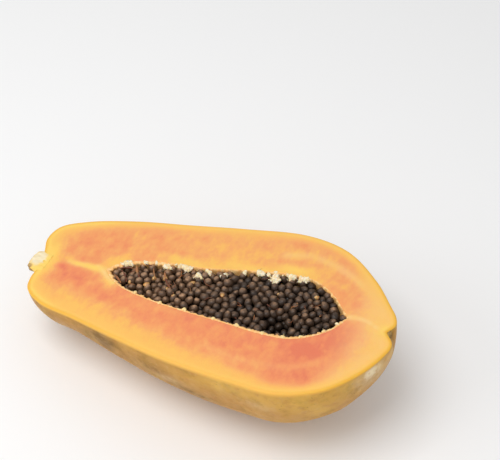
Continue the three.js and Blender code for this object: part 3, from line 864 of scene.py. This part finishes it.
# A painted highlight: the seeds' tops are painted a pale brown, less so on the darker seeds.
highlight_share = n.math("MULTIPLY", n.spread(n.fact("top_highlight"), 0.66, 1.12), n.spread(wrinkle, 0.3, 0.7, 0.35, 0.95))
n.shade([seeds], {
    "Base Color": n.dab(tone, SEED_HIGHLIGHT, highlight_share, n.spread(n.fact("tone"), -0.2, 1.1, 0.12, 1.0)),
    "Roughness": n.spread(wrinkle, 0.3, 0.7, 0.36, 0.52),
    "Specular IOR Level": 0.3,
    "Coat Weight": 0.15,
    "Coat Roughness": 0.2,
    "Normal": n.bump(wrinkle, 0.6, 0.8),
})
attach(seeds, "root")
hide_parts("seeds")

# ---- The immature seeds ----
# A few seeds never ripened. They stay small, soft and amber, and lie loose among the dark ones, on top
# of the heap.

AMBER_SPOTS = [
    (-25.4, -3.7), (-18.9, -8.1), (10.4, 2.4), (67.2, 18.1), (-40.4, -3.9), (-31.0, 4.4), (-52.0, -5.0),
    (-38.5, 2.6), (-12.5, 6.6), (44, 13.5),
]
AMBER_DRAW = 5
AMBER_RADII = (1.9, 1.5, 1.3)
AMBER_SIZES = (0.75, 1.2)  # the smallest and the largest, as a share of those
AMBER_HEIGHTS = (-2.4, -1.6)
AMBER_BROWN = paint(176, 122, 66)
AMBER_PALE = paint(224, 182, 118)

draw = np.random.default_rng(AMBER_DRAW)
count = len(AMBER_SPOTS)
amber_places = np.column_stack([AMBER_SPOTS, draw.uniform(*AMBER_HEIGHTS, count)])
amber_sizes = draw.uniform(*AMBER_SIZES, count)
amber_points = ovoids(amber_places, amber_sizes, AMBER_RADII, SEED_DENTS, draw)
amber = piece_of("immature_seeds", amber_points, tube_faces(count, OVOID_RINGS, OVOID_SIDES, poles=True))
n = Nodes("amber_seed")
n.shade([amber], {
    "Base Color": n.mix(n.spread(n.noise(1.6), 0.35, 0.65), AMBER_BROWN, AMBER_PALE),
    "Roughness": 0.4,
    "Subsurface Weight": 0.3,
    "Subsurface Scale": 0.002,
    "Normal": n.bump(n.noise(0.8), 0.4, 0.3),
})
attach(amber, "root")
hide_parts("seeds")

# ---- The seed threads ----
# Thin wet threads and shreds of brown membrane, torn from the placenta, lie over the seeds, most of them
# at the stem end.

THREAD_ROUTES = [
    # three points on each route, and its thickness
    ((-35, 11), (-29, 2), (-19.5, -6.5), 0.8), ((-54.5, 9.5), (-51, 3.5), (-46, -1.5), 1.0),
    ((-43, 11.5), (-40, 6), (-36, 1), 0.4), ((-24, 14), (-22, 9), (-23, 3), 0.35),
    ((-8, 13), (-4, 8), (2, 6), 0.35), ((-62, 2), (-57, -2), (-53, -7), 0.7),
    ((-66, 3), (-61, 5), (-55, 6), 0.9), ((-66, -2), (-61, -5), (-56, -9), 0.8),
]
THREADS_DRAWN, THREAD_DRAW = 34, 9
THREAD_RINGS, THREAD_SIDES = 14, 6
THREAD_WAVES = [(0.35, 5, 77)]
# Where the drawn ones start: this share of them by the stem end, and how far across the cavity.
STEM_THREADS, STEM_THREAD_X, OTHER_THREAD_X, THREAD_ACROSS = 0.6, (-60, -10), (-10, 84), (0.15, 0.9)
THREAD_STEP = 2.2  # how far apart their points are drawn
THREAD_HEIGHTS, THREAD_RADII = (-1.6, -0.7), (0.15, 0.35)
MEMBRANE_DARK = paint(104, 54, 32)
MEMBRANE_TAN = paint(168, 112, 66)


def threads_along(routes, radii, draw):
    """Tubes whose middles follow smooth curves through three points each, waving a little, thin at both
    ends: the radius goes with the square root of the sine of the share along."""
    share = np.linspace(0, 1, THREAD_RINGS)
    middle = np.stack([side_curve(route, share) for route in routes])
    middle[..., 2] += relief(middle, THREAD_WAVES)
    way = unit(np.gradient(middle, axis=1))
    side = unit(np.cross(way, [0, 0, 1]))
    radius = radii[:, None] * np.sqrt(np.sin(np.pi * np.clip(share, 0.01, 0.99)))
    radius = radius * draw.uniform(*TUBE_UNEVEN, radius.shape)
    return rings_round(middle, radius, side, np.cross(way, side), THREAD_SIDES)


draw = np.random.default_rng(THREAD_DRAW)
by_stem = draw.random(THREADS_DRAWN) < STEM_THREADS
stem_x = draw.uniform(*STEM_THREAD_X, THREADS_DRAWN)
start_x = np.where(by_stem, stem_x, draw.uniform(*OTHER_THREAD_X, THREADS_DRAWN))
low, high = side_at(CAVITY_NEAR_SIDE, start_x), side_at(CAVITY_FAR_SIDE, start_x)
start_y = low + (high - low) * draw.uniform(*THREAD_ACROSS, THREADS_DRAWN)
start = np.column_stack([start_x, start_y])
step = draw.normal(0, THREAD_STEP, (2, THREADS_DRAWN, 2))
drawn = np.stack([start, start + step[0], start + step[0] + step[1]], 1)
routes = np.concatenate([np.array([route[:3] for route in THREAD_ROUTES], float), drawn])
routes = np.concatenate([routes, draw.uniform(*THREAD_HEIGHTS, (*routes.shape[:2], 1))], -1)
radii = draw.uniform(*THREAD_RADII, THREADS_DRAWN)
radii = np.concatenate([[route[3] for route in THREAD_ROUTES], radii])
thread_faces = tube_faces(len(routes), THREAD_RINGS, THREAD_SIDES)
threads = piece_of("seed_threads", threads_along(routes, radii, draw), thread_faces)
n = Nodes("wet_membrane")
n.shade([threads], {
    "Base Color": n.mix(n.spread(n.noise(9, seed=2.2), 0.42, 0.6), MEMBRANE_DARK, MEMBRANE_TAN),
    "Roughness": 0.38,
    "Subsurface Weight": 0.25,
    "Subsurface Scale": 0.002,
    "Normal": n.bump(n.noise(1.1, detail=3), 0.4, 0.3),
})
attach(threads, "root")
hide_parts("placenta")

# ---- The stalk's stub ----
# The end of the woody stalk, in a socket of the fruit's stem end and cut in half with it. It shows a cream
# fibrous core, and a thin dry bark at the outer end.

STUB_AT = (-118.4, -7.6, 0)
# Radii and heights along the stalk, from inside the fruit outwards.
STUB_PROFILE = [
    [0, -6.5], [7.4, -6.5], [8.8, -5], [9.6, -3], [9, -1], [8.2, 1.5], [7.4, 4], [6.4, 5.6], [0, 6.2],
]
STUB_RINGS, STUB_SIDES, STUB_CUT_ROWS = 48, 36, 24
STUB_SWELL, STUB_AXIS = 0.1, 0.5  # how much wider it grows, but for the points this near its axis
STUB_CORE = (-119.8, -6.0, 5.8, 7.6, 1)  # the cream core in the cut, as a soft spot
STUB_SUNK = 0.2  # how far the edge of its cut lies under the flesh, so that it swells out of it
STUB_HIGH = 0.3  # how far above the flesh it swells
STUB_BRIM = 2.2  # how steeply it does so from its edge
STUB_BARK = (-122.6, -14.2, 2.6, 2.4, 1)  # the dry bark at the cut's outer corner, as a soft spot
BARK_STARTS, BARK_DEPTH = (-119, -121.5), (0.1, 1.2)  # the x and the depths between which it turns to bark
STUB_LUMPS, STUB_FIBRES, CUT_FIBRES = [(0.45, 4.5, 42)], [(0.35, 2.4, 41)], [(0.25, 2.0, 43)]
STALK_CREAM = paint(236, 218, 176)
STALK_WHITE = paint(246, 232, 198)
BARK_TAN = paint(196, 160, 100)
BARK_BROWN = paint(128, 98, 58)

# The round side: the profile, carried half a turn about the stalk's axis.
profile = side_curve(STUB_PROFILE, np.linspace(0, 1, STUB_RINGS + 1))
radius = (np.maximum(profile[:, 0], 0) + STUB_SWELL * (profile[:, 0] > STUB_AXIS))[:, None]
angle = np.linspace(0, np.pi, STUB_SIDES + 1)
away = np.dstack([
    -profile[:, 1:] * np.ones(STUB_SIDES + 1), radius * np.cos(angle), -radius * np.sin(angle),
])
stub_round = STUB_AT + away
fibres = relief(stub_round * [0.25, 1, 1], STUB_FIBRES) + relief(stub_round, STUB_LUMPS)
stub_round = stub_round + unit(away) * fibres[..., None]
stub_round[:, [0, -1], 2] = -STUB_SUNK
# The cut: rows from one edge of the round side to the other, highest in the middle.
across = np.linspace(0, 1, STUB_CUT_ROWS)[:, None]
stub_cut = stub_round[:, :1] * (1 - across) + stub_round[:, -1:] * across
along = np.linspace(0, 1, len(stub_cut))[:, None]
rise = [np.clip(STUB_BRIM * np.sin(np.pi * share), 0, 1) for share in (across[:, 0], along)]
swelling = STUB_SUNK + STUB_HIGH + relief(stub_cut * [0.3, 1, 0], CUT_FIBRES)
stub_cut[..., 2] = -STUB_SUNK + rise[0] * rise[1] * swelling
on_round, on_cut = (
    {"bark": soft_spots(part, [STUB_BARK]), "core": soft_spots(part, [STUB_CORE])}
    for part in (stub_round, stub_cut)
)
on_round["bark"] += eased(stub_round[..., 0], *BARK_STARTS) * eased(-stub_round[..., 2], *BARK_DEPTH)
stub = shell("cut_stalk_stub", (stub_round, False, on_round), (stub_cut, True, on_cut))
n = Nodes("woody_stalk")
grain = n.noise(1.0, stretch=(0.2, 1, 1))
cream = n.mix(n.spread(grain, 0.35, 0.7), STALK_CREAM, STALK_WHITE)
core = n.math("MULTIPLY_ADD", n.math("SUBTRACT", n.noise(2.4, detail=3), 0.5), 0.5, n.fact("core"))
cream = n.mix(n.spread(core, 0.25, 0.7), FLESH_LEMON, cream)
bark = n.mix(n.spread(n.noise(2.2), 0.4, 0.65), BARK_TAN, BARK_BROWN)
n.shade([stub], {
    "Base Color": n.mix(n.spread(n.fact("bark"), 0.3, 0.75), cream, bark),
    "Roughness": 0.75,
    "Normal": n.bump(grain, 0.6, 0.4),
})
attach(stub, "root")
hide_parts("stalk_stub")

# ---- The blossom scar ----
# The dry mark where the flower fell off: a small knob of brown cork, grown onto the rind in the dimple of
# the blossom end.

SCAR_AT = (119.6, 3.6, -1.7)
SCAR_HALF_SIZE = (1.5, 2.3, 1.7)
SCAR_RELIEF = [(0.35, 2.2, 51)]
SCAR_RINGS, SCAR_SIDES = 16, 24
CORK_BROWN = paint(138, 108, 60)
CORK_PALE = paint(182, 150, 88)

# A ball of rings about an upright axis, scaled to the half sizes and roughened outwards.
polar = np.linspace(0, np.pi, SCAR_RINGS + 1)[:, None]
turned = np.linspace(0, 2 * np.pi, SCAR_SIDES + 1)
level_ring = np.stack([np.cos(turned), np.sin(turned), np.zeros(SCAR_SIDES + 1)], -1)
scar_ball = np.sin(polar)[..., None] * level_ring + np.cos(polar)[..., None] * [0, 0, 1]
scar_ball[:, -1] = scar_ball[:, 0]
scar_ball[[0, -1]] = scar_ball[[0, -1], :1]
scar_points = SCAR_AT + scar_ball * SCAR_HALF_SIZE
scar_points = scar_points + scar_ball * relief(scar_points, SCAR_RELIEF)[..., None]
scar = shell("blossom_scar", (scar_points, True, {}))
n = Nodes("corky_scar")
cork = n.mix(n.spread(n.noise(1.3), 0.4, 0.64), CORK_BROWN, CORK_PALE)
n.shade([scar], {"Base Color": cork, "Roughness": 0.85, "Normal": n.bump(n.noise(0.8), 0.7, 0.4)})
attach(scar, "root")
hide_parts("fruit")

# ---- The studio ----
# A plain pale floor, a large soft light overhead, a weaker one from the left front, and a camera that
# looks down on the cut face from the near side of the blossom end.

FLOOR_HALF = 3.0
WORLD_STRENGTH = 0.58

floor_mesh = bpy.data.meshes.new("floor")
floor_corners = FLOOR_HALF * np.array([[-1, -1, 0], [1, -1, 0], [1, 1, 0], [-1, 1, 0]])
floor_mesh.from_pydata(floor_corners.tolist(), [], [(0, 1, 2, 3)])
floor = bpy.data.objects.new("floor", floor_mesh)
bpy.context.scene.collection.objects.link(floor)
n = Nodes("plain_floor")
n.shade([floor], {"Base Color": (0.94, 0.94, 0.94, 1), "Roughness": 0.9})

bpy.context.scene.view_settings.view_transform = "Standard"
world = bpy.data.worlds.new("studio")
world.use_nodes = True
backdrop = world.node_tree.nodes["Background"].inputs
backdrop["Color"].default_value = (1, 1, 1, 1)
backdrop["Strength"].default_value = WORLD_STRENGTH
bpy.context.scene.world = world


def soft_light(name, place, aim, size, power):
    """A square area light at a place, facing a point."""
    light = bpy.data.lights.new(name, "AREA")
    light.size, light.energy = size, power
    lamp = bpy.data.objects.new(name, light)
    lamp.location = place
    lamp.rotation_euler = (Vector(aim) - Vector(place)).to_track_quat("-Z", "Y").to_euler()
    bpy.context.scene.collection.objects.link(lamp)


soft_light("overhead", (-0.2, -0.4, 1.25), (0, 0, 0.05), 0.7, 7.4)
soft_light("left_front", (-0.9, -0.9, 0.8), (0, 0, 0.04), 0.8, 3.6)

# The camera's place and directions are given in the fruit's frame, so they follow how the half lies.
CAMERA_PLACE = (289.8, -438.2, 519.8)
CAMERA_FORWARD = np.array([-0.3693, 0.6436, -0.6704])
CAMERA_RIGHT = np.array([0.9072, 0.4063, -0.1097])
CAMERA_LENS, CAMERA_SENSOR = 84.96, 36

turn = tilted(np.eye(3)) / MM
forward = unit(CAMERA_FORWARD @ turn)
right = CAMERA_RIGHT @ turn
right = unit(right - forward * (right @ forward))
up = np.cross(right, forward)
view = bpy.data.cameras.new("view")
view.lens, view.sensor_width = CAMERA_LENS, CAMERA_SENSOR
camera = bpy.data.objects.new("view", view)
facing = Matrix(np.stack([right, up, -forward], 1).tolist())
camera.matrix_world = Matrix.Translation(placed(CAMERA_PLACE)) @ facing.to_4x4()
bpy.context.scene.collection.objects.link(camera)
bpy.context.scene.camera = camera
